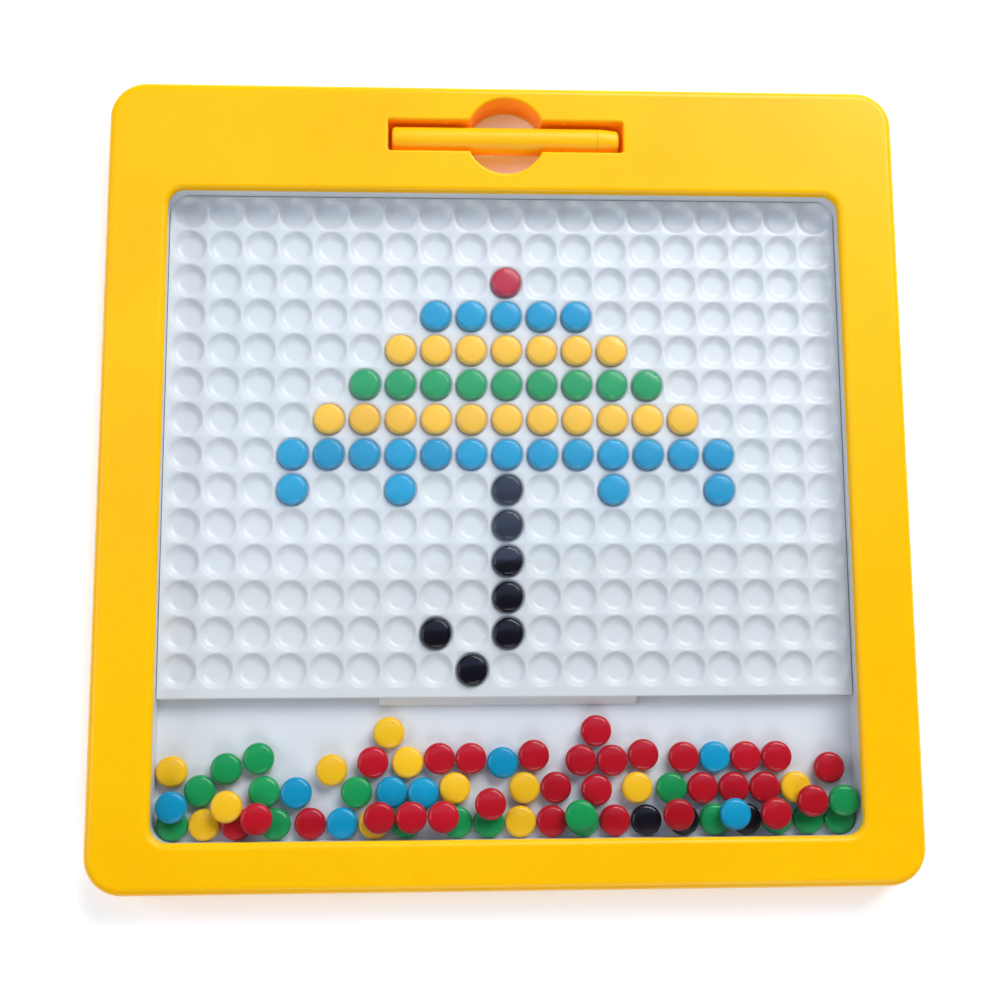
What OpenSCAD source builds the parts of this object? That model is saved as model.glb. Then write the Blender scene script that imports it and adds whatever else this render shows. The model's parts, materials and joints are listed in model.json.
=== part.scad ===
// Magnetic bead drawing board. A square frame holds a clear cover over a shallow
// chamber. Loose round beads lie in the tray along the lower edge and are drawn
// by a magnet-tipped pen into a grid of dimples, where they form a picture.
// The board lies flat: window facing +Z, pen slot towards +Y, tray towards -Y.
// Origin at the bottom centre of the frame. Millimetres.

/* [Frame] */
// Width and length of the square frame
frame_w = 263; // [220:1:300]
// Thickness of the closed toy
frame_t = 15; // [13:0.5:20]
// Outer corner radius
corner_r = 12; // [8:0.5:20]
// Rounding of the outer top edge
edge_r = 2.2; // [1:0.1:3]
// Thickness of the frame's outer wall
wall_t = 2.4; // [1.6:0.1:3]
// Thickness of the frame's top skin
skin_t = 2.2; // [1.6:0.1:3]

/* [Window] */
// Window width
win_w = 223; // [180:1:240]
// Window length
win_l = 210; // [180:1:230]
// Height of the window's centre above the frame's centre
win_y = -10.7; // [-20:0.1:0]
// Window corner radius
win_r = 5.5; // [3:0.5:10]
// Rounding of the window's top edge
lip_r = 1.2; // [0.5:0.1:2]
// How far the frame's lip hangs over the chamber
lip_over = 0.8; // [0.5:0.1:1.5]
// Thickness of the clear cover
cover_t = 1; // [0.8:0.1:2]

/* [Back shell] */
// Thickness of the back plate, which is also the tray floor
floor_t = 2; // [1.5:0.1:3]
// Thickness of the chamber wall
chamber_t = 3; // [2:0.1:4]
// Radial gap between back shell and frame
shell_gap = 0.3; // [0.2:0.05:0.5]

/* [Dimple board] */
// Columns of dimples
columns = 19; // [15:2:21]
// Rows of dimples
rows = 14; // [10:1:16]
// Distance between dimples
pitch = 11.7; // [11:0.1:13]
// Height of the dimple grid's centre above the frame's centre
grid_y = 12.9; // [0:0.1:20]
// Top face of the board above the table
board_top = 6.6; // [5:0.1:8]
// Thickness of the board
board_t = 3.4; // [3:0.1:4]
// Diameter of a dimple at the top
dimple_d = 11.1; // [10.5:0.1:11.4]
// Diameter of a dimple at its floor
dimple_floor_d = 9.2; // [8:0.1:10]
// Depth of a dimple
dimple_depth = 1.8; // [1:0.1:2.4]
// Lower edge of the board
board_low = -72; // [-80:0.5:-60]
// Width of the bead ramp in the middle of the lower edge
ramp_w = 83; // [40:1:120]

/* [Beads] */
// Bead diameter
bead_d = 10; // [9:0.1:10]
// Bead thickness at its middle
bead_t = 4.2; // [3:0.1:4.6]
// Height of the bead's straight rim
bead_rim = 2; // [1:0.1:3]

/* [Loose beads] */
// Place of the lowest row's centres
tray_low = -111.2; // [-111.2:0.1:-110.6]
// Slack between beads of one row
tray_slack = 0.1; // [0.05:0.01:0.1]
// Slack between a bead and those that it rests on
pile_slack = 0.6; // [0.1:0.1:0.8]

/* [Pen] */
// Pen diameter
pen_d = 9; // [7:0.1:10]
// Pen length
pen_l = 76.4; // [60:0.5:100]
// Length of the tip piece
tip_l = 7.4; // [7:0.1:12]
// Height of the slot's centre above the frame's centre
slot_y = 114; // [110:0.1:116]
// Slot length
slot_l = 78.8; // [70:0.1:100]
// Slot width
slot_w = 10.8; // [9:0.1:12]
// Radius of the finger recess
finger_r = 13.2; // [10:0.1:15]
// Thickness of the slot's walls and floor
slot_t = 1.4; // [1:0.1:2]

/* [Screws] */
// Shank diameter
screw_d = 2.6; // [2:0.1:3]
// Shank length
screw_l = 8; // [6:0.5:10]
// Head diameter
head_d = 4.8; // [4:0.1:6]
// Head height
head_t = 1.8; // [1.2:0.1:2.5]

/* [Hidden] */
$fn = 96;
cover_z = frame_t - skin_t - cover_t - 0.1;
shell_w = frame_w - 2 * wall_t - 2 * shell_gap;
bead_r = bead_d / 2;
dome_h = (bead_t - bead_rim) / 2;
dome_r = (bead_r * bead_r + dome_h * dome_h) / (2 * dome_h);
seat_z = board_top - dimple_depth + 0.1 + bead_t / 2;
tray_z = floor_t + 0.05 + bead_t / 2;
heap_z = cover_z - 0.95 - bead_t / 2;
pen_z = floor_t + 1.9 + slot_t + pen_d / 2 + 0.1;
boss_z = 4.4;
screw_z = 0.5;
tip_bore = 5;
screw_at = [for (x = [-120.3, 120.3], y = [-121.3, 0, 120.3]) [x, y],
            [-62, slot_y], [62, slot_y]];

// Rows of loose beads, one letter each: r, b, y, g and k. A space is an empty place, a
// dot half a place and a comma 1 mm. The beads of a row rest on those of the rows below.
// The heap is a second layer that lies on the two lowest rows.
tray_start = [-106.5, -98, -107, -38.4];
tray_rows = ["gyr,,g,rbyg.,ggyrgrk,,kgkggg",
             "g gb.,,,,g,bby ,,yr,,,r,,,y,grrry",
             "y.,,gg ,,,y,,,r,yrrbr.rrr,,,rbrr.,,r",
             "y     .,r"];
heap_start = [-79.5, -106];
heap_base = [tray_low + 2, tray_low + 5.9];
heap_rows = ["r  .,,,rrr   ,,,g  ,r.,,,b,,,r",
             "b.,,y       ,,r         ,,rg"];
heap_tilt = 3;

YELLOW = [0.98, 0.77, 0.03];
WHITE = [0.87, 0.9, 0.93];
RED = [0.68, 0.05, 0.1];
BLUE = [0.04, 0.5, 0.76];
GOLD = [0.98, 0.74, 0.1];
GREEN = [0.1, 0.58, 0.3];
BLACK = [0.08, 0.07, 0.1];

// ---- shared shapes ----

module round_rect(w, l, r) {
    square([w - 2 * r, l], center = true);
    square([w, l - 2 * r], center = true);
    for (x = [-1, 1], y = [-1, 1])
        translate([x * (w / 2 - r), y * (l / 2 - r)]) circle(r);
}

module window_rect(grow) {
    translate([0, win_y]) round_rect(win_w + 2 * grow, win_l + 2 * grow, win_r + grow);
}

// Border swept round a rounded rectangle: child 0 is its profile, x outwards
// from the corner centres and y up.
module border(w, l, r) {
    for (a = [0, 180]) rotate([0, 0, a]) {
        translate([w / 2 - r, l / 2 - r, 0]) rotate([90, 0, 0])
            linear_extrude(l - 2 * r) children();
        translate([-w / 2 + r, l / 2 - r, 0]) rotate([90, 0, 90])
            linear_extrude(w - 2 * r) children();
        translate([w / 2 - r, l / 2 - r, 0]) rotate_extrude(angle = 90) children();
        translate([-w / 2 + r, l / 2 - r, 0]) rotate([0, 0, 90])
            rotate_extrude(angle = 90) children();
    }
}

// ---- case ----

module slot_outline(grow) {
    translate([0, slot_y]) {
        square([slot_l + 2 * grow, slot_w + 2 * grow], center = true);
        circle(finger_r + grow);
    }
}

module outer_profile() {
    difference() {
        translate([corner_r - 4, 0]) square([4, frame_t]);
        translate([corner_r - edge_r, frame_t - edge_r]) difference() {
            square(edge_r + 1);
            circle(edge_r);
        }
        translate([corner_r - 5, -1]) square([5 - wall_t, frame_t - skin_t + 1]);
    }
}

module lip_profile() {
    difference() {
        translate([win_r, frame_t - skin_t]) square([3, skin_t]);
        translate([win_r - 1, frame_t - lip_r]) difference() {
            square([1 + lip_r, lip_r + 1]);
            translate([1 + lip_r, 0]) circle(lip_r);
        }
    }
}

module nubs() {
    for (x = [-20, 20], s = [-1, 1])
        translate([x, slot_y + s * (slot_w / 2 + 0.1), frame_t - skin_t - 1.4])
            cylinder(h = 2.8, r = 0.55);
}

module front_frame() color(YELLOW) {
    border(frame_w, frame_w, corner_r) outer_profile();
    translate([0, win_y, 0]) border(win_w, win_l, win_r) lip_profile();
    translate([0, 0, frame_t - skin_t]) linear_extrude(skin_t) difference() {
        round_rect(frame_w - 8, frame_w - 8, corner_r - 4);
        window_rect(3);
        slot_outline(0);
    }
    translate([0, 0, pen_z - pen_d / 2 - slot_t - 0.1]) linear_extrude(slot_t)
        difference() {
            translate([0, slot_y])
                square([slot_l + 2 * slot_t, slot_w + 2 * slot_t], center = true);
            translate([0, slot_y]) circle(finger_r);
        }
    translate([0, 0, pen_z - pen_d / 2 - 0.1])
        linear_extrude(frame_t - skin_t - pen_z + pen_d / 2 + 0.1) difference() {
            slot_outline(slot_t);
            slot_outline(0);
        }
    translate([0, slot_y, floor_t + 0.1])
        linear_extrude(pen_z - pen_d / 2 - 0.2 - floor_t) difference() {
            circle(finger_r + slot_t);
            circle(finger_r);
        }
    for (p = screw_at) translate([p[0], p[1], boss_z]) difference() {
        cylinder(h = frame_t - skin_t - boss_z, d = 6.4);
        translate([0, 0, -1]) cylinder(h = frame_t - skin_t - boss_z, d = screw_d + 0.1);
    }
    nubs();
}

module back_shell() color(WHITE) difference() {
    union() {
        linear_extrude(floor_t)
            round_rect(shell_w, shell_w, corner_r - wall_t - shell_gap);
        linear_extrude(cover_z) difference() {
            window_rect(lip_over + chamber_t);
            window_rect(lip_over);
        }
        linear_extrude(cover_z + cover_t) difference() {
            window_rect(lip_over + chamber_t);
            window_rect(lip_over + chamber_t - 1);
        }
        for (p = screw_at) translate([p[0], p[1], 0]) cylinder(h = boss_z, d = 8);
    }
    for (p = screw_at) translate([p[0], p[1], -1]) {
        cylinder(h = boss_z + 2, d = screw_d + 0.4);
        cylinder(h = 1 + screw_z + head_t, d = head_d + 0.6);
    }
}

module clear_cover() color([0.93, 0.96, 0.98, 0.25])
    translate([0, 0, cover_z]) linear_extrude(cover_t) window_rect(lip_over + chamber_t - 1.2);

module case_screws() color([0.6, 0.6, 0.62])
    for (p = screw_at) translate([p[0], p[1], screw_z]) {
        difference() {
            cylinder(h = head_t, d = head_d);
            for (a = [0, 90]) rotate([0, 0, a])
                translate([-1.5, -0.35, -1]) cube([3, 0.7, 1.9]);
        }
        translate([0, 0, head_t]) cylinder(h = screw_l - 1.5, d = screw_d);
        translate([0, 0, head_t + screw_l - 1.5])
            cylinder(h = 1.5, d1 = screw_d, d2 = 1);
    }

// ---- dimple board ----

module dimple() {
    slope = (dimple_d - dimple_floor_d) / 2 / dimple_depth;
    translate([0, 0, board_top - dimple_depth])
        cylinder(h = dimple_depth + 0.2, r1 = dimple_floor_d / 2,
                 r2 = dimple_d / 2 + 0.2 * slope);
}

function spot(c, r) = [(c - (columns - 1) / 2) * pitch,
                       grid_y + ((rows - 1) / 2 - r) * pitch];

module board_outline(inset) {
    intersection() {
        window_rect(lip_over - shell_gap - inset);
        translate([-win_w, board_low + inset]) square([2 * win_w, win_l]);
    }
}

module dimple_board() color(WHITE) {
    difference() {
        translate([0, 0, board_top - board_t]) linear_extrude(board_t) board_outline(0);
        for (c = [0 : columns - 1], r = [0 : rows - 1]) translate(spot(c, r)) dimple();
    }
    translate([0, 0, floor_t]) linear_extrude(board_top - board_t - floor_t)
        difference() {
            board_outline(0);
            board_outline(2);
        }
    translate([-ramp_w / 2, board_low, 0]) rotate([90, 0, 90]) linear_extrude(ramp_w)
        polygon([[0, floor_t], [-2.5, floor_t], [-2.5, floor_t + 0.8], [0, board_top]]);
}

// ---- beads ----

module bead() rotate_extrude() intersection() {
    translate([0, bead_t / 2 - dome_r]) circle(dome_r);
    translate([0, dome_r - bead_t / 2]) circle(dome_r);
    translate([0, -bead_t]) square([bead_r, 2 * bead_t]);
}

module placed(r, cols) for (c = cols) translate([spot(c, r)[0], spot(c, r)[1], seat_z]) bead();

function advance(c) = c == "," ? 1 : (c == "." ? 0.5 : 1) * (bead_d + tray_slack);

function along(text, start) =
    [for (i = 0, x = start; i < len(text); x = x + advance(text[i]), i = i + 1)
        if (search(text[i], "rbygk") != []) [x, text[i]]];

function resting_y(x, under, apart) =
    max([tray_low, for (b = under) if (abs(x - b[0]) < apart)
        b[1] + sqrt(apart * apart - (x - b[0]) * (x - b[0]))]);

function laid(j, under) =
    [for (p = along(tray_rows[j], tray_start[j]))
        [p[0], resting_y(p[0], under, bead_d + pile_slack), p[1]]];

heap_beads = [for (j = [0, 1], p = along(heap_rows[j], heap_start[j]))
    [p[0], heap_base[j], p[1]]];
row_0 = laid(0, []);
row_1 = laid(1, row_0);
row_2 = laid(2, concat(row_0, row_1, heap_beads));
row_3 = laid(3, concat(row_2, heap_beads));
tray_beads = concat(row_0, row_1, row_2, row_3);

module loose(k) for (b = tray_beads) if (b[2] == k) translate([b[0], b[1], tray_z]) bead();

module heap(k) for (i = [0 : len(heap_beads) - 1])
    if (heap_beads[i][2] == k)
        translate([heap_beads[i][0], heap_beads[i][1], heap_z])
            rotate([heap_tilt * sin(97 * i), heap_tilt * cos(53 * i), 0]) bead();

module bead_tip() color(RED) placed(2, [9]);
module bead_arc1_1() color(BLUE) placed(3, [7]);
module bead_arc1_2() color(BLUE) placed(3, [8]);
module bead_arc1_3() color(BLUE) placed(3, [9]);
module bead_arc1_4() color(BLUE) placed(3, [10]);
module bead_arc1_5() color(BLUE) placed(3, [11]);
module bead_arc2_1() color(GOLD) placed(4, [6]);
module bead_arc2_2() color(GOLD) placed(4, [7]);
module bead_arc2_3() color(GOLD) placed(4, [8]);
module bead_arc2_4() color(GOLD) placed(4, [9]);
module bead_arc2_5() color(GOLD) placed(4, [10]);
module bead_arc2_6() color(GOLD) placed(4, [11]);
module bead_arc2_7() color(GOLD) placed(4, [12]);
module bead_arc3_1() color(GREEN) placed(5, [5]);
module bead_arc3_2() color(GREEN) placed(5, [6]);
module bead_arc3_3() color(GREEN) placed(5, [7]);
module bead_arc3_4() color(GREEN) placed(5, [8]);
module bead_arc3_5() color(GREEN) placed(5, [9]);
module bead_arc3_6() color(GREEN) placed(5, [10]);
module bead_arc3_7() color(GREEN) placed(5, [11]);
module bead_arc3_8() color(GREEN) placed(5, [12]);
module bead_arc3_9() color(GREEN) placed(5, [13]);
module bead_arc4() color(GOLD) placed(6, [4 : 14]);
module bead_arc5() color(BLUE) placed(7, [3 : 15]);
module bead_scallop_1() color(BLUE) placed(8, [3]);
module bead_scallop_2() color(BLUE) placed(8, [6]);
module bead_scallop_3() color(BLUE) placed(8, [12]);
module bead_scallop_4() color(BLUE) placed(8, [15]);
module bead_stem_1() color(BLACK) placed(8, [9]);
module bead_stem_2() color(BLACK) placed(9, [9]);
module bead_stem_3() color(BLACK) placed(10, [9]);
module bead_stem_4() color(BLACK) placed(11, [9]);
module bead_stem_5() color(BLACK) placed(12, [9]);
module bead_hook_1() color(BLACK) placed(13, [8]);
module bead_hook_2() color(BLACK) placed(12, [7]);
module tray_red() color(RED) loose("r");
module tray_blue() color(BLUE) loose("b");
module tray_yellow() color(GOLD) loose("y");
module tray_green() color(GREEN) loose("g");
module tray_black() color(BLACK) loose("k");
module heap_red() color(RED) heap("r");
module heap_blue() color(BLUE) heap("b");
module heap_yellow() color(GOLD) heap("y");
module heap_green() color(GREEN) heap("g");

// ---- pen ----

// Revolves a profile about the pen's axis: x is the radius, y runs to the tip.
module on_pen() translate([-pen_l / 2, slot_y - 0.2, pen_z]) rotate([0, 90, 0])
    rotate_extrude() children();

module pen_barrel() color(YELLOW) on_pen() {
    body = pen_l - tip_l;
    r = pen_d / 2;
    difference() {
        polygon([[0, 0], [r - 1, 0], [r - 0.3, 0.3], [r, 1], [r, body], [0, body]]);
        translate([-1, 2]) square([r - 0.6, body]);
    }
}

module pen_tip() color(YELLOW) on_pen() {
    body = pen_l - tip_l;
    r = pen_d / 2;
    difference() {
        polygon([[0, body - 5], [r - 1.65, body - 5], [r - 1.65, body], [r, body],
                 [r, pen_l - 6], [r - 0.7, pen_l - 1], [r - 1.7, pen_l], [0, pen_l]]);
        translate([-1, body - 6]) square([1 + tip_bore / 2, tip_l + 4.2]);
    }
}

module pen_magnet() color([0.5, 0.5, 0.53]) on_pen()
    translate([0, pen_l - 11.9]) square([tip_bore / 2 - 0.05, 10]);

// ---- assembly ----

front_frame();
back_shell();
clear_cover();
dimple_board();
case_screws();
pen_barrel();
pen_tip();
pen_magnet();
bead_tip();
bead_arc1_1();
bead_arc1_2();
bead_arc1_3();
bead_arc1_4();
bead_arc1_5();
bead_arc2_1();
bead_arc2_2();
bead_arc2_3();
bead_arc2_4();
bead_arc2_5();
bead_arc2_6();
bead_arc2_7();
bead_arc3_1();
bead_arc3_2();
bead_arc3_3();
bead_arc3_4();
bead_arc3_5();
bead_arc3_6();
bead_arc3_7();
bead_arc3_8();
bead_arc3_9();
bead_arc4();
bead_arc5();
bead_scallop_1();
bead_scallop_2();
bead_scallop_3();
bead_scallop_4();
bead_stem_1();
bead_stem_2();
bead_stem_3();
bead_stem_4();
bead_stem_5();
bead_hook_1();
bead_hook_2();
tray_red();
tray_blue();
tray_yellow();
tray_green();
tray_black();
heap_red();
heap_blue();
heap_yellow();
heap_green();
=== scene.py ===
# Looks of a magnetic bead drawing board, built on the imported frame. The scene is in
# metres. Sizes of the object's own shapes are written in millimetres, times MM.
import json
import math

import bmesh
import bpy
import numpy as np
from mathutils import Matrix, Vector
from mathutils.geometry import tessellate_polygon


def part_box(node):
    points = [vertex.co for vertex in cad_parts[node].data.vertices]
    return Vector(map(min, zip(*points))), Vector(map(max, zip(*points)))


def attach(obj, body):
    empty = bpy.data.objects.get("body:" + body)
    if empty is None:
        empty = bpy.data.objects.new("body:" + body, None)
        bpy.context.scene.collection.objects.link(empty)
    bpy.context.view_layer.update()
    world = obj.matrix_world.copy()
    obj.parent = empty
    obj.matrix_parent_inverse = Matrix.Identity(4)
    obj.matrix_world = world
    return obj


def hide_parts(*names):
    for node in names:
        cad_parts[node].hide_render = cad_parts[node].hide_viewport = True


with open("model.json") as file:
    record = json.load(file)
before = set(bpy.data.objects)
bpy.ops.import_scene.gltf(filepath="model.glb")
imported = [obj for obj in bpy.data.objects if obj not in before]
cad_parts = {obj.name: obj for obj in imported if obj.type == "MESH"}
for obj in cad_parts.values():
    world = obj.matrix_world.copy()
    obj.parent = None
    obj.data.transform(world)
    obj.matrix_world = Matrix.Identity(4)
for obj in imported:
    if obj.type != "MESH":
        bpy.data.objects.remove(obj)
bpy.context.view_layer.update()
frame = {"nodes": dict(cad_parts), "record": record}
MM = 0.001


# ---------- mesh helpers ----------

def round_rect(w, l, r, cy=0.0, n=10):
    """Points of a rounded rectangle, anticlockwise, n + 1 to a corner, in mm."""
    out = []
    for k, (sx, sy) in enumerate(((1, 1), (-1, 1), (-1, -1), (1, -1))):
        for i in range(n + 1):
            a = math.radians(90 * (k + i / n))
            out.append((sx * (w / 2 - r) + r * math.cos(a),
                        cy + sy * (l / 2 - r) + r * math.sin(a)))
    return out


def circle(x, y, r, sides, start=0.0):
    """Points of a circle, anticlockwise from the start angle in degrees, in mm."""
    turns = [math.radians(start) + 2 * math.pi * i / sides for i in range(sides)]
    return [(x + r * math.cos(a), y + r * math.sin(a)) for a in turns]


def vert(bm, x, y, z):
    """A vertex at a place in mm."""
    return bm.verts.new((x * MM, y * MM, z * MM))


def ring(bm, points, z):
    return [vert(bm, x, y, z) for x, y in points]


def bridge(bm, a, b):
    n = len(a)
    for i in range(n):
        bm.faces.new((a[i], a[(i + 1) % n], b[(i + 1) % n], b[i]))


def bridge_all(bm, rings):
    for a, b in zip(rings, rings[1:]):
        bridge(bm, a, b)


def cap(bm, *loops):
    """Fills the flat region between an outline and its holes."""
    verts = [v for loop in loops for v in loop]
    for tri in tessellate_polygon([[v.co.copy() for v in loop] for loop in loops]):
        face = [verts[i] for i in tri]
        if len(set(face)) == 3 and bm.faces.get(face) is None:
            bm.faces.new(face)


def fan(bm, pairs, centre):
    """Fills a flat convex hole with triangles from its edges' vertices to one vertex."""
    for a, b in pairs:
        bm.faces.new((a, b, centre))


def merge(bm):
    bmesh.ops.remove_doubles(bm, verts=bm.verts, dist=1e-6)


def open_edges(bm):
    return [e for e in bm.edges if e.is_boundary]


def quarter(radius, steps):
    """(inset, drop) pairs of a quarter round, from the wall to the flat."""
    out = []
    for i in range(steps + 1):
        a = math.pi / 2 * i / steps
        out.append((radius * (1 - math.cos(a)), radius * (1 - math.sin(a))))
    return out


def arc_points(cr, cz, radius, a0, a1, steps=8):
    """(radius, height) pairs along an arc from a0 to a1 degrees, for lathe()."""
    return [(cr + radius * math.cos(math.radians(a0 + (a1 - a0) * i / steps)),
             cz + radius * math.sin(math.radians(a0 + (a1 - a0) * i / steps)))
            for i in range(steps + 1)]


def lathe(bm, profile, place, steps=40):
    """Revolves (radius, height) pairs in mm about the local z axis, then places them."""
    rings = []
    for r, z in profile:
        if r < 1e-6:
            rings.append([bm.verts.new(place @ Vector((0, 0, z * MM)))])
        else:
            rings.append([bm.verts.new(place @ Vector((x * MM, y * MM, z * MM)))
                          for x, y in circle(0, 0, r, steps)])
    for a, b in zip(rings, rings[1:]):
        for i in range(steps):
            j = (i + 1) % steps
            if len(a) == 1:
                bm.faces.new((a[0], b[i], b[j]))
            elif len(b) == 1:
                bm.faces.new((a[i], a[j], b[0]))
            else:
                bm.faces.new((a[i], a[j], b[j], b[i]))


def link_mesh(bm, name):
    """Turns a bmesh into an object of the scene."""
    mesh = bpy.data.meshes.new(name)
    bm.to_mesh(mesh)
    bm.free()
    obj = bpy.data.objects.new(name, mesh)
    bpy.context.scene.collection.objects.link(obj)
    return obj


def finish_mesh(bm, name, angle=35):
    """Makes the object, smooth up to an angle in degrees and sharp beyond it."""
    bmesh.ops.remove_doubles(bm, verts=bm.verts, dist=1e-7)
    bmesh.ops.recalc_face_normals(bm, faces=bm.faces)
    obj = link_mesh(bm, name)
    obj.data.shade_smooth()
    obj.data.set_sharp_from_angle(angle=math.radians(angle))
    return obj


def loose_parts(obj):
    """The separate solids of a CAD node, as lists of points."""
    bm = bmesh.new()
    bm.from_mesh(obj.data)
    merge(bm)
    seen, parts = set(), []
    for start in bm.verts:
        if start.index in seen:
            continue
        stack, part = [start], []
        seen.add(start.index)
        while stack:
            v = stack.pop()
            part.append(v.co.copy())
            for e in v.link_edges:
                o = e.other_vert(v)
                if o.index not in seen:
                    seen.add(o.index)
                    stack.append(o)
        parts.append(part)
    bm.free()
    return parts


# ---------- materials ----------

def new_material(name):
    m = bpy.data.materials.new(name)
    m.use_nodes = True
    return m, m.node_tree.nodes, m.node_tree.links, m.node_tree.nodes["Principled BSDF"]


def object_coords(nodes):
    return nodes.new("ShaderNodeTexCoord").outputs["Object"]


def noise(nodes, links, coords, scale, detail=3.0, rough=0.55):
    n = nodes.new("ShaderNodeTexNoise")
    n.inputs["Scale"].default_value = scale
    n.inputs["Detail"].default_value = detail
    n.inputs["Roughness"].default_value = rough
    links.new(coords, n.inputs["Vector"])
    return n.outputs["Fac"]


def ramp(nodes, links, value, lo, hi, out_lo, out_hi):
    n = nodes.new("ShaderNodeMapRange")
    n.inputs["From Min"].default_value = lo
    n.inputs["From Max"].default_value = hi
    n.inputs["To Min"].default_value = out_lo
    n.inputs["To Max"].default_value = out_hi
    links.new(value, n.inputs["Value"])
    return n.outputs["Result"]


def maths(nodes, links, operation, a, b):
    """A math node of a socket and either another socket or a number."""
    n = nodes.new("ShaderNodeMath")
    n.operation = operation
    links.new(a, n.inputs[0])
    if isinstance(b, float):
        n.inputs[1].default_value = b
    else:
        links.new(b, n.inputs[1])
    return n.outputs[0]


def mix(nodes, links, fac, a, b, blend="MIX"):
    """Mixes two colours; each of fac, a and b is a socket or a constant."""
    n = nodes.new("ShaderNodeMix")
    n.data_type = "RGBA"
    n.blend_type = blend
    # a mix node in colour mode has its factor at 0, its colours at 6 and 7, its result at 2
    for socket, value in ((n.inputs[0], fac), (n.inputs[6], a), (n.inputs[7], b)):
        if isinstance(value, bpy.types.NodeSocket):
            links.new(value, socket)
        elif isinstance(value, float):
            socket.default_value = value
        else:
            socket.default_value = (*value, 1.0)
    return n.outputs[2]


def moulded(name, base, shade, rough=0.3, spread=0.06, peel=0.04, grain=700.0,
            island=0.0, coat=0.0, scatter=0.0, spec=0.5):
    """Injection-moulded plastic: flow clouds in the colour, fine handling marks in
    the gloss, and the faint orange peel of a polished tool."""
    cloud_scale, peel_scale, peel_height = 22.0, 420.0, 0.0004
    m, nodes, links, bsdf = new_material(name)
    coords = object_coords(nodes)
    cloud = ramp(nodes, links, noise(nodes, links, coords, cloud_scale, 4.0), 0.35, 0.7, 0, 1)
    colour = mix(nodes, links, cloud, base, shade)
    if island:
        colour = vary_by_island(nodes, links, colour, island)
    links.new(colour, bsdf.inputs["Base Color"])
    marks = noise(nodes, links, coords, grain, 6.0, 0.7)
    gloss = ramp(nodes, links, marks, 0.35, 0.75, rough - spread / 2, rough + spread)
    links.new(gloss, bsdf.inputs["Roughness"])
    bump = nodes.new("ShaderNodeBump")
    bump.inputs["Strength"].default_value = peel
    bump.inputs["Distance"].default_value = peel_height
    links.new(noise(nodes, links, coords, peel_scale, 2.0), bump.inputs["Height"])
    links.new(bump.outputs["Normal"], bsdf.inputs["Normal"])
    bsdf.inputs["IOR"].default_value = 1.5
    bsdf.inputs["Specular IOR Level"].default_value = spec
    bsdf.inputs["Coat Weight"].default_value = coat
    bsdf.inputs["Coat Roughness"].default_value = 0.06
    if scatter:
        bsdf.inputs["Subsurface Weight"].default_value = scatter
        bsdf.inputs["Subsurface Radius"].default_value = (1.0, 0.28, 0.04)
        bsdf.inputs["Subsurface Scale"].default_value = 0.008
    return m


def vary_by_island(nodes, links, colour, amount):
    """Makes each separate solid of a mesh a little lighter or darker than the next."""
    pick = nodes.new("ShaderNodeNewGeometry").outputs["Random Per Island"]
    level = ramp(nodes, links, pick, 0, 1, 1 - amount, 1 + amount)
    grey = nodes.new("ShaderNodeCombineColor")
    for i in range(3):
        links.new(level, grey.inputs[i])
    return mix(nodes, links, 1.0, colour, grey.outputs[0], "MULTIPLY")


def painted_glow(material, colour):
    """Painted glow: the material gives off a faint light of a colour, which stands in for light
    that comes through the thin walls of translucent plastic.
    """
    bsdf = material.node_tree.nodes["Principled BSDF"]
    bsdf.inputs["Emission Color"].default_value = (*colour, 1)
    bsdf.inputs["Emission Strength"].default_value = 1.0


def painted_light_spot(material, centre, radius, colour, light):
    """Painted pool of light: paler, faintly glowing plastic on the upper side of a floor, round
    centre, in mm.
    """
    fade = 1  # width of the spot's soft edge
    nodes, links = material.node_tree.nodes, material.node_tree.links
    bsdf = nodes["Principled BSDF"]
    base = bsdf.inputs["Base Color"]
    coords = object_coords(nodes)
    away = nodes.new("ShaderNodeVectorMath")
    away.operation = "DISTANCE"
    away.inputs[1].default_value = [c * MM for c in centre]
    links.new(coords, away.inputs[0])
    near = ramp(nodes, links, away.outputs["Value"], radius * MM, (radius - fade) * MM, 0, 1)
    axes = nodes.new("ShaderNodeSeparateXYZ")
    links.new(coords, axes.inputs[0])
    floor = centre[2] * MM
    above = ramp(nodes, links, axes.outputs["Z"], floor / 2, floor, 0, 1)
    spot = maths(nodes, links, "MULTIPLY", near, above)
    links.new(mix(nodes, links, spot, base.links[0].from_socket, colour), base)
    painted_glow(material, light)
    links.new(spot, bsdf.inputs["Emission Strength"])


def clear_sheet(name):
    """Clear polished sheet: light passes straight through and the faces only reflect."""
    m, nodes, links, bsdf = new_material(name)
    nodes.remove(bsdf)
    coords = object_coords(nodes)
    through = nodes.new("ShaderNodeBsdfTransparent")
    cloud = ramp(nodes, links, noise(nodes, links, coords, 9.0), 0.3, 0.7, 0, 1)
    links.new(mix(nodes, links, cloud, (0.985, 0.992, 0.995), (0.97, 0.982, 0.988)),
              through.inputs["Color"])
    shine = nodes.new("ShaderNodeBsdfGlossy")
    wiped = noise(nodes, links, coords, 240.0, 5.0)
    links.new(ramp(nodes, links, wiped, 0.3, 0.8, 0.015, 0.06), shine.inputs["Roughness"])
    facing = nodes.new("ShaderNodeLayerWeight").outputs["Facing"]
    grazing = maths(nodes, links, "POWER", facing, 5.0)
    both = nodes.new("ShaderNodeMixShader")
    links.new(ramp(nodes, links, grazing, 0, 1, 0.035, 1), both.inputs[0])
    links.new(through.outputs[0], both.inputs[1])
    links.new(shine.outputs[0], both.inputs[2])
    links.new(both.outputs[0], nodes["Material Output"].inputs["Surface"])
    return m


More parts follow.
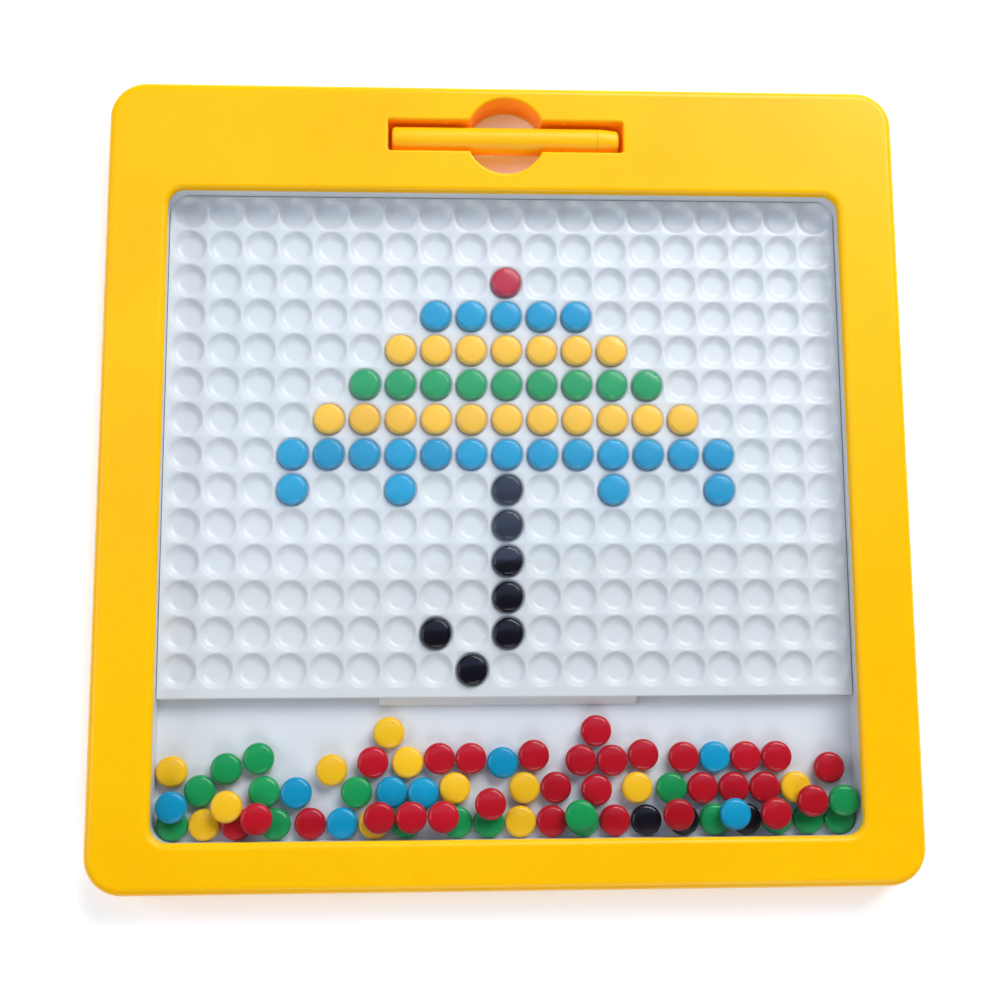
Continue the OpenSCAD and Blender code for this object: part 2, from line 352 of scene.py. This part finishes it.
def metal(name, base, rough, grain):
    """Bright metal with darker, duller patches where it is worn."""
    m, nodes, links, bsdf = new_material(name)
    coords = object_coords(nodes)
    worn = ramp(nodes, links, noise(nodes, links, coords, grain, 5.0), 0.3, 0.7, 0, 1)
    links.new(mix(nodes, links, worn, base, [0.72 * c for c in base]),
              bsdf.inputs["Base Color"])
    scuffs = noise(nodes, links, coords, 3 * grain)
    links.new(ramp(nodes, links, scuffs, 0.3, 0.7, rough, rough + 0.15),
              bsdf.inputs["Roughness"])
    bsdf.inputs["Metallic"].default_value = 1.0
    return m


def bead_plastic(name, base, shade, rough=0.22, island=0.08):
    return moulded(name, base, shade, rough, spread=0.05, island=island, coat=0.15, spec=0.3)


YELLOW = moulded("frame_plastic", (0.96, 0.49, 0.002), (0.93, 0.45, 0.001),
                 rough=0.24, peel=0.04, scatter=0.35, spec=0.17)
# painted shade and bounced light: a deeper orange copy of the frame's yellow, for the walls of
# the pen slot and finger recess
SLOT_PAINTED_SHADE = moulded("slot_painted_shade", (0.99, 0.3, 0.003), (0.97, 0.26, 0.002),
                      rough=0.35, peel=0.05, scatter=0.35, spec=0.15)
PEN_YELLOW = moulded("pen_plastic", (0.86, 0.48, 0.003), (0.82, 0.44, 0.002),
                     rough=0.36, peel=0.04, scatter=0.2, spec=0.22)
WHITE = moulded("board_plastic", (0.7, 0.71, 0.71), (0.67, 0.685, 0.69),
                rough=0.32, peel=0.06)
SHELL = moulded("shell_plastic", (0.74, 0.75, 0.77), (0.71, 0.725, 0.75),
                rough=0.38, peel=0.1, grain=1100.0)
CLEAR = clear_sheet("cover_plastic")
STEEL = metal("screw_steel", (0.62, 0.62, 0.64), 0.25, 900.0)
NICKEL = metal("magnet_nickel", (0.66, 0.64, 0.6), 0.15, 500.0)
BEADS = {
    "bead_red": bead_plastic("bead_red", (0.52, 0.006, 0.018), (0.42, 0.004, 0.012)),
    "bead_blue": bead_plastic("bead_blue", (0.004, 0.31, 0.54), (0.003, 0.26, 0.47)),
    "bead_yellow": bead_plastic("bead_yellow", (0.95, 0.54, 0.016), (0.9, 0.48, 0.01),
                                island=0.05),
    "bead_green": bead_plastic("bead_green", (0.01, 0.33, 0.09), (0.008, 0.27, 0.07)),
    "bead_black": bead_plastic("bead_black", (0.003, 0.002, 0.006), (0.006, 0.005, 0.01),
                               rough=0.2, island=0.1),
}


# ---------- case ----------

frame_lo, frame_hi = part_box("front_frame")
TOP = frame_hi.z / MM
SIDE = (frame_hi.x - frame_lo.x) / MM
CORNER = 12
WALL = 2.4  # the frame's outer wall
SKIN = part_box("clear_cover")[1].z / MM + 0.1  # underside of the frame's top skin
WIN_W, WIN_L, WIN_R, WIN_Y = 223.0, 210.0, 5.5, -10.7  # window, centred on x = 0
SLOT_W, SLOT_L, SLOT_Y = 78.8, 10.8, 114.0  # pen slot, centred on x = 0
RECESS_R = 13.2  # round finger recess in the middle of the slot
SLOT_CORNER = 0.9
SLOT_FLOOR = 5.3
SLOT_WALL = 1.4
PIT_FLOOR = 2.1  # lower end of the recess's wall, over the back shell
SLOT_BACK = SIDE / 2 - WALL - 0.15  # the slot's wall stops short of the outer wall
SHELL_FLOOR = 2  # the back shell's inside, which shows at the bottom of the recess
RECESS_ARC = 24  # steps along each of the recess's two arcs
MOUTH = 8  # steps across each mouth between the recess and an arm of the slot
SLOT_END = 5  # steps round each corner of the slot


def window(grow):
    return round_rect(WIN_W + 2 * grow, WIN_L + 2 * grow, WIN_R + grow, WIN_Y)


def outside(inset):
    return round_rect(SIDE - 2 * inset, SIDE - 2 * inset, CORNER - inset)


def mouth_angle(half_slot, radius):
    """Angle from the x axis at which the recess's circle meets the slot's side."""
    return math.atan2(half_slot, math.sqrt(radius * radius - half_slot * half_slot))


def slot(grow, back=math.inf):
    """Outline of the pen slot joined with the round finger recess, anticlockwise
    from the right-hand end. Every grow value gives the same number of points."""
    w, l, r = SLOT_W / 2 + grow, SLOT_L / 2 + grow, RECESS_R + grow
    c = SLOT_CORNER + grow
    right = []
    for start, y in ((-90, c - l), (0, l - c)):
        for i in range(SLOT_END + 1):
            a = math.radians(start + 90 * i / SLOT_END)
            right.append((w - c + c * math.cos(a), y + c * math.sin(a)))
    turn = mouth_angle(l, r)
    over = [(r * math.cos(turn + (math.pi - 2 * turn) * i / RECESS_ARC),
             r * math.sin(turn + (math.pi - 2 * turn) * i / RECESS_ARC))
            for i in range(RECESS_ARC + 1)]
    half = right + over
    points = half + [(-x, -y) for x, y in half]
    return [(x, min(SLOT_Y + y, back)) for x, y in points]


def recess(bm, grow, z, back=math.inf):
    """The recess's whole circle, with the same points as the slot's outline on its arcs."""
    l, r = SLOT_L / 2 + grow, RECESS_R + grow
    turn = mouth_angle(l, r)
    angles = [-turn + 2 * turn * i / MOUTH for i in range(MOUTH)]
    angles += [turn + (math.pi - 2 * turn) * i / RECESS_ARC for i in range(RECESS_ARC)]
    angles += [math.pi + a for a in angles]
    return ring(bm, [(r * math.cos(a), min(SLOT_Y + r * math.sin(a), back))
                     for a in angles], z)


def slot_arms(bm, outline, grow, z):
    """Flat floors of the slot's arms, between the slot's ends and the recess."""
    n = len(outline) // 2
    radius = RECESS_R + grow
    turn = mouth_angle(SLOT_L / 2 + grow, radius)
    for side in (0, 1):
        edge = [outline[(side * n + i) % (2 * n)] for i in range(-1, 2 * SLOT_END + 3)]
        curve = []
        for i in range(1, MOUTH):
            a = turn - 2 * turn * i / MOUTH + math.pi * side
            curve.append(vert(bm, radius * math.cos(a), SLOT_Y + radius * math.sin(a), z))
        cap(bm, edge + curve)


def slot_nubs(bm):
    """Two pairs of small upright pins, sunk in the slot's sides, that hold the pen."""
    from_middle, sunk = 20, 0.1
    half = [(0, 1.4), (0.3, 1.36), (0.52, 1.1), (0.55, 0.8)]
    profile = [(r, SKIN - h) for r, h in half] + [(r, SKIN + h) for r, h in reversed(half)]
    for x in (-from_middle, from_middle):
        for side in (-1, 1):
            y = SLOT_Y + side * (SLOT_L / 2 + sunk)
            lathe(bm, profile, Matrix.Translation(Vector((x, y, 0)) * MM), 20)


def build_front_frame():
    bm = bmesh.new()
    edge, lip, rim, foot, ease, chamfer = 3.0, 2.0, 0.8, 0.4, 0.2, 0.3
    # outer wall, down its inside, round the foot and up to the top face; each rounding
    # ends in a narrow flat ring, which keeps the shading of the top face flat
    outer = [ring(bm, outside(WALL), SKIN), ring(bm, outside(WALL), ease),
             ring(bm, outside(WALL - ease), 0.0)]
    outer += [ring(bm, outside(d), z) for d, z in reversed(quarter(foot, 4))]
    outer += [ring(bm, outside(d), TOP - z) for d, z in quarter(edge, 9)]
    outer.append(ring(bm, outside(edge + ease), TOP))
    bridge_all(bm, outer)
    # window lip
    inner = [ring(bm, window(chamfer), SKIN), ring(bm, window(0.0), SKIN + chamfer)]
    inner += [ring(bm, window(d), TOP - z) for d, z in quarter(lip, 7)]
    inner.append(ring(bm, window(lip + 2 * ease), TOP))
    bridge_all(bm, inner)
    # pen slot and finger recess, down to the slot's floor
    pit = [ring(bm, slot(0.0), SLOT_FLOOR)]
    pit += [ring(bm, slot(d), TOP - z) for d, z in quarter(rim, 6)]
    pit.append(ring(bm, slot(rim + ease / 2), TOP))
    bridge_all(bm, pit)
    cap(bm, outer[-1], inner[-1], pit[-1])
    # outside of the slot's walls, hidden in the case
    under = SLOT_FLOOR - SLOT_WALL
    shell = [ring(bm, slot(SLOT_WALL, SLOT_BACK), z) for z in (SKIN, under)]
    bridge_all(bm, shell)
    cap(bm, outer[0], inner[0], shell[0])
    # floors of the slot's two arms, and the recess's wall between them
    slot_arms(bm, pit[0], 0.0, SLOT_FLOOR)
    slot_arms(bm, shell[1], SLOT_WALL, under)
    bridge_all(bm, [recess(bm, 0.0, SLOT_FLOOR), recess(bm, 0.0, PIT_FLOOR + ease),
                    recess(bm, ease, PIT_FLOOR), recess(bm, SLOT_WALL, PIT_FLOOR, SLOT_BACK),
                    recess(bm, SLOT_WALL, under, SLOT_BACK)])
    slot_nubs(bm)
    return finish_mesh(bm, "frame_moulding")


def paint_slot_shade(moulding, index):
    """Gives the upright walls of the slot and the recess, below their rounded rims, another of
    the moulding's materials: painted shade, a deeper orange that stands in for the shade and
    bounced light inside the slot."""
    reach_x, reach_y, top = SLOT_W / 2 + 2.6, RECESS_R + 0.5, TOP - 0.7
    for face in moulding.data.polygons:
        x, y, z = [c / MM for c in face.center]
        upright = abs(face.normal.z) < 0.5 and z < top
        if upright and abs(x) < reach_x and abs(y - SLOT_Y) < reach_y:
            face.material_index = index


# ---------- dimple board ----------

board_lo, board_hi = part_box("dimple_board")
PITCH, COLS, ROWS, GRID_Y = 11.7, 19, 14, 12.9
BOARD_WEST, BOARD_EAST, BOARD_NORTH = board_lo.x / MM, board_hi.x / MM, board_hi.y / MM
BOARD_SOUTH = -72.0  # the rolled lower edge; the ramp reaches beyond it
BOARD_TOP, BOARD_LOW = board_hi.z / MM, board_lo.z / MM
DIMPLE_SIDES = 32


def column(c):
    """Centre, west edge and east edge of a column of cells."""
    x = (c - (COLS - 1) / 2) * PITCH
    return (x, BOARD_WEST if c == 0 else x - PITCH / 2,
            BOARD_EAST if c == COLS - 1 else x + PITCH / 2)


def dimple_profile():
    """(radius, drop) pairs down an S-shaped wall, from the rim to the flat floor."""
    rim, flat, depth, steps = 5.74, 2.9, 1.8, 9
    return [(rim - (rim - flat) * (i / steps) ** 1.5,
             depth * math.sin(math.pi / 2 * i / steps) ** 2) for i in range(steps + 1)]


def cell_outline(w, e, s, n):
    """Points round a cell, from its south-east corner, as many as a dimple has sides."""
    across = DIMPLE_SIDES // 4
    corners = [(e, s), (e, n), (w, n), (w, s), (e, s)]
    return [(a[0] + (b[0] - a[0]) * i / across, a[1] + (b[1] - a[1]) * i / across)
            for a, b in zip(corners, corners[1:]) for i in range(across)]


def add_dimples(bm):
    profile = dimple_profile()
    for c in range(COLS):
        x, w, e = column(c)
        for r in range(ROWS):
            y = GRID_Y + ((ROWS - 1) / 2 - r) * PITCH
            n = BOARD_NORTH if r == 0 else y + PITCH / 2
            rings = [ring(bm, cell_outline(w, e, y - PITCH / 2, n), BOARD_TOP)]
            rings += [ring(bm, circle(x, y, radius, DIMPLE_SIDES, -45), BOARD_TOP - drop)
                      for radius, drop in profile]
            bridge_all(bm, rings)
            centre = vert(bm, x, y, BOARD_TOP - profile[-1][1])
            floor = rings[-1]
            fan(bm, zip(floor, floor[1:] + floor[:1]), centre)


def add_margin(bm):
    """Plain strip below the dimples, then the rolled edge, down to the underside."""
    roll, across = 0.6, DIMPLE_SIDES // 4
    xs = []
    for c in range(COLS):
        _, w, e = column(c)
        xs += [w + (e - w) * i / across for i in range(across)]
    xs.append(BOARD_EAST)
    rows_yz = [(GRID_Y - ROWS / 2 * PITCH, BOARD_TOP), (BOARD_SOUTH + 0.8, BOARD_TOP)]
    rows_yz += [(BOARD_SOUTH + roll - roll * math.sin(math.radians(a)),
                 BOARD_TOP - roll + roll * math.cos(math.radians(a)))
                for a in range(0, 91, 15)]
    rows_yz.append((BOARD_SOUTH, BOARD_LOW))
    strip = [[vert(bm, x, y, z) for x in xs] for y, z in rows_yz]
    for a, b in zip(strip, strip[1:]):
        for i in range(len(xs) - 1):
            bm.faces.new((a[i], a[i + 1], b[i + 1], b[i]))


def add_skirt(bm):
    """Side walls down from the board's open edges, and the flat underside."""
    merge(bm)
    down = bmesh.ops.extrude_edge_only(bm, edges=open_edges(bm))
    for v in down["geom"]:
        if isinstance(v, bmesh.types.BMVert):
            v.co.z = BOARD_LOW * MM
    merge(bm)
    middle = vert(bm, (BOARD_WEST + BOARD_EAST) / 2, (BOARD_SOUTH + BOARD_NORTH) / 2, BOARD_LOW)
    fan(bm, [e.verts for e in open_edges(bm)], middle)


def add_ramp(bm):
    """Short slope for the beads, in the middle of the lower edge. Its end faces are
    drawn in a little, which eases the ramp's corners."""
    half, ease, draw_y, draw_z = 41.5, 0.15, 0.12, 0.1
    y0, low, top = BOARD_SOUTH, BOARD_LOW, BOARD_TOP
    outline = [(y0 + 0.3, low), (y0 - 2.4, low), (y0 - 2.5, low + 0.15),
               (y0 - 2.5, low + 0.6), (y0 - 2.4, low + 0.9), (y0 - 2.15, low + 1.25),
               (y0 - 0.25, top - 0.45), (y0 + 0.3, top - 0.1)]
    rings = []
    for x in (-half, -half + ease, half - ease, half):
        end = abs(x) == half
        rings.append([vert(bm, x, y + (draw_y if end and y < y0 - 1 else 0),
                           z - (draw_z if end and z > low + 1 else 0)) for y, z in outline])
    bridge_all(bm, rings)
    bm.faces.new(rings[0])
    bm.faces.new(list(reversed(rings[-1])))


def build_dimple_board():
    """Board with soft-edged dimples, a rolled lower edge and the bead ramp."""
    bm = bmesh.new()
    add_dimples(bm)
    add_margin(bm)
    add_skirt(bm)
    add_ramp(bm)
    return finish_mesh(bm, "dimple_moulding", 40)


# ---------- beads ----------

def bead_profile():
    """Disc bead with a slightly domed face, a small gate mark and a rolled rim."""
    r, h, roll, dome = 5.0, 2.1, 1.5, 0.3
    flat = r - roll
    half = [(0, h - 0.02), (0.5, h - 0.018), (0.8, h)]
    half += [(x, h - dome * (x / flat) ** 2.4) for x in (1.2, 1.7, 2.2, 2.6, 3.0, 3.3)]
    half += [(flat + roll * math.sin(math.radians(a)),
              h - dome - roll + roll * math.cos(math.radians(a)))
             for a in range(0, 91, 11)]
    half += [(r, 0.12)]
    return half + [(x, -z) for x, z in reversed(half)]


def build_beads(node):
    """One round bead on each solid of a CAD node, along that solid's shortest axis."""
    bm = bmesh.new()
    profile = bead_profile()
    for k, part in enumerate(loose_parts(frame["nodes"][node])):
        pts = np.array(part)
        mid = (pts.min(0) + pts.max(0)) / 2
        axis = Vector(np.linalg.eigh(np.cov((pts - mid).T))[1][:, 0])
        axis = -axis if axis.z < 0 else axis
        turn = Vector((0, 0, 1)).rotation_difference(axis).to_matrix().to_4x4()
        # turned differently about its own axis, so that the facets don't line up
        spin = Matrix.Rotation(0.7 * k + 40 * mid[0], 4, "Z")
        lathe(bm, profile, Matrix.Translation(Vector(mid)) @ turn @ spin)
    return finish_mesh(bm, node + "_shine", 60)


# ---------- pen ----------

SEAM = 69.0  # from the barrel's end to the tip


def barrel_profile():
    r, groove = 4.5, 0.14
    points = [(0, 0), (1.5, 0)] + arc_points(3.3, 1.2, 1.2, -90, 0)
    points += [(r, 12), (r, 30), (r, 48), (r, SEAM - 0.5)]
    return points + arc_points(r - groove, SEAM - groove, groove, 0, 90, 4) + [(0, SEAM)]


def tip_profile():
    start, groove = SEAM + 0.02, 0.14
    points = [(0, start), (4.3, start)]
    points += arc_points(4.34, start + groove, groove, -80, 0, 4)
    points += [(4.46, SEAM + 1.4), (4.3, SEAM + 3.4), (4.05, SEAM + 5.2)]
    return points + arc_points(2.6, SEAM + 6.0, 1.4, 8, 90) + [(1.0, SEAM + 7.4), (0, SEAM + 7.4)]


def build_pen(name, profile):
    """A piece of the pen, along +x from the middle of the barrel's left end."""
    bm = bmesh.new()
    lo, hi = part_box("pen_barrel")
    start = Vector((lo.x, (lo.y + hi.y) / 2, (lo.z + hi.z) / 2))
    along = Matrix.Rotation(math.radians(90), 4, "Y")
    lathe(bm, profile, Matrix.Translation(start) @ along, 64)
    return finish_mesh(bm, name, 50)


# ---------- put the pieces together ----------

def show(piece, material, body, *nodes):
    """Gives a mesh its material and body, and puts it in the place of CAD nodes."""
    piece.data.materials.clear()
    piece.data.materials.append(material)
    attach(piece, body)
    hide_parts(*nodes)


def keep(node, material):
    """Shows a CAD node's own mesh, with another material."""
    for s in frame["nodes"][node].material_slots:
        s.material = material


moulding = build_front_frame()
show(moulding, YELLOW, "case", "front_frame")
moulding.data.materials.append(SLOT_PAINTED_SHADE)
paint_slot_shade(moulding, 1)
show(build_dimple_board(), WHITE, "case", "dimple_board")
keep("back_shell", SHELL)
keep("clear_cover", CLEAR)
keep("case_screws", STEEL)
keep("pen_magnet", NICKEL)
show(build_pen("pen_barrel_round", barrel_profile()), PEN_YELLOW, "pen", "pen_barrel")
show(build_pen("pen_tip_round", tip_profile()), PEN_YELLOW, "pen", "pen_tip")
# painted glow on the slot's walls, in place of light that shines through and bounces between the
# thin yellow walls
painted_glow(SLOT_PAINTED_SHADE, (0.145, 0.024, 0.0))
# painted pool of light on the back shell at the bottom of the finger recess
painted_light_spot(SHELL, (0, SLOT_Y, SHELL_FLOOR), RECESS_R + 1, (0.9, 0.97, 0.93),
         (0.11, 0.11, 0.05))
slots = {s["node"]: s["material_slot"] for s in frame["record"]["subparts"]}
bodies = {n: b for b, ns in frame["record"]["behaviour"]["bodies"].items() for n in ns}
for node in sorted(slots):
    if slots[node] in BEADS:
        show(build_beads(node), BEADS[slots[node]], bodies[node], node)


# ---------- floor, light and camera ----------

def build_floor(size):
    """White paper that gives off a little light, so that shadows on it stay pale."""
    paper, nodes, links, bsdf = new_material("studio_paper")
    links.new(mix(nodes, links, noise(nodes, links, object_coords(nodes), 6.0),
                  (0.97, 0.97, 0.97), (0.93, 0.93, 0.93)), bsdf.inputs["Base Color"])
    bsdf.inputs["Roughness"].default_value = 0.9
    bsdf.inputs["Specular IOR Level"].default_value = 0.1
    bsdf.inputs["Emission Color"].default_value = (1, 1, 1, 1)
    bsdf.inputs["Emission Strength"].default_value = 0.25
    bm = bmesh.new()
    bmesh.ops.create_grid(bm, x_segments=8, y_segments=8, size=size / 2)
    floor = link_mesh(bm, "floor")
    floor.data.materials.append(paper)


def area_light(name, at, size, power, colour):
    """Soft box that faces the origin, with its place and size in metres."""
    data = bpy.data.lights.new(name, "AREA")
    data.shape, data.size, data.size_y = "RECTANGLE", size[0], size[1]
    data.energy, data.color = power, colour
    obj = bpy.data.objects.new(name, data)
    bpy.context.scene.collection.objects.link(obj)
    obj.location = at
    obj.rotation_euler = (-Vector(at)).to_track_quat("-Z", "Y").to_euler()


def build_world(unseen, seen):
    """Backdrop that the camera sees bright, but that lights the object only faintly."""
    world = bpy.data.worlds.new("studio")
    bpy.context.scene.world = world
    world.use_nodes = True
    nodes, links = world.node_tree.nodes, world.node_tree.links
    background = nodes["Background"]
    background.inputs["Color"].default_value = (0.94, 0.97, 1.0, 1)
    to_camera = nodes.new("ShaderNodeLightPath").outputs["Is Camera Ray"]
    links.new(ramp(nodes, links, to_camera, 0, 1, unseen, seen), background.inputs["Strength"])


def build_camera(eye, aim, lens, roll):
    """Camera with +Y of the board upwards in the picture, rolled by some degrees."""
    data = bpy.data.cameras.new("camera")
    data.sensor_width, data.lens = 36.0, lens
    camera = bpy.data.objects.new("camera", data)
    bpy.context.scene.collection.objects.link(camera)
    z_axis = (eye - aim).normalized()
    x_axis = Vector((0, 1, 0)).cross(z_axis).normalized()
    y_axis = z_axis.cross(x_axis)
    turned = Matrix((x_axis, y_axis, z_axis)).transposed()
    turned = turned @ Matrix.Rotation(math.radians(roll), 3, "Z")
    camera.matrix_world = Matrix.Translation(eye) @ turned.to_4x4()
    bpy.context.scene.camera = camera


build_floor(6.0)
area_light("key", (0.61, 1.05, 1.02), (1.3, 0.8), 32.0, (1.0, 0.99, 0.97))
area_light("left", (-1.3, 0.1, 0.9), (1.0, 1.0), 10.0, (0.93, 0.97, 1.0))
area_light("front", (0.2, -1.3, 0.9), (1.0, 1.0), 11.0, (0.97, 0.98, 1.0))
area_light("veil", (-0.02, 0.36, 1.0), (1.1, 0.62), 1.7, (0.7, 0.95, 1.5))
build_world(0.05, 0.95)
build_camera(Vector((-0.0219, -0.0664, 0.4285)), Vector((-0.0024, -0.0080, 0.0066)),
             46.8, -0.35)
bpy.context.scene.view_settings.view_transform = "Standard"
